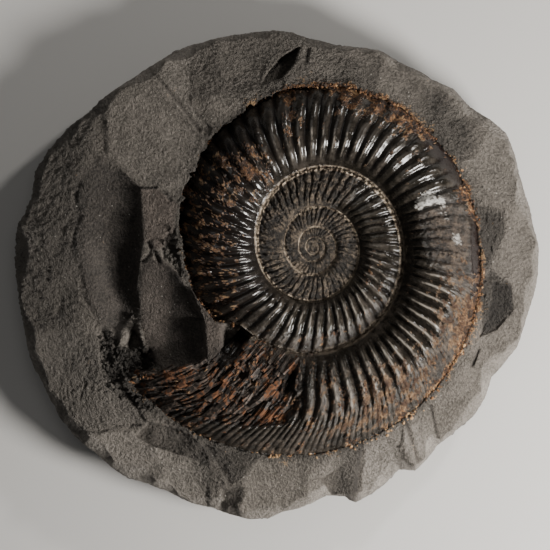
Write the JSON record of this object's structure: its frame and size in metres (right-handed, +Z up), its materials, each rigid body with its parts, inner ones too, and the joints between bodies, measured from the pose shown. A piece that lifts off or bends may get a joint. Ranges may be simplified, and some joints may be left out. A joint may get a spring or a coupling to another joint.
{
  "type": "ammonite fossil in a rock nodule",
  "caption": "Coiled, ribbed ammonite shell with a crushed body chamber, lying in the chipped face of a rounded rock nodule with a flat underside.",
  "frame": {"origin": "centre of the bounding box at the flat underside", "axes": "+Z up out of the face that carries the fossil, +X along the nodule's longest side, towards the side that is nearer to the coil"},
  "size_m": [0.18, 0.1679, 0.0376],
  "materials": {
    "matrix": "dull, fine-grained and chipped",
    "ammonite": "glossy dark shell with a rusty crust"
  },
  "bodies": {
    "root": {"matrix": "matrix", "ammonite": "ammonite"}
  },
  "joints": []
}
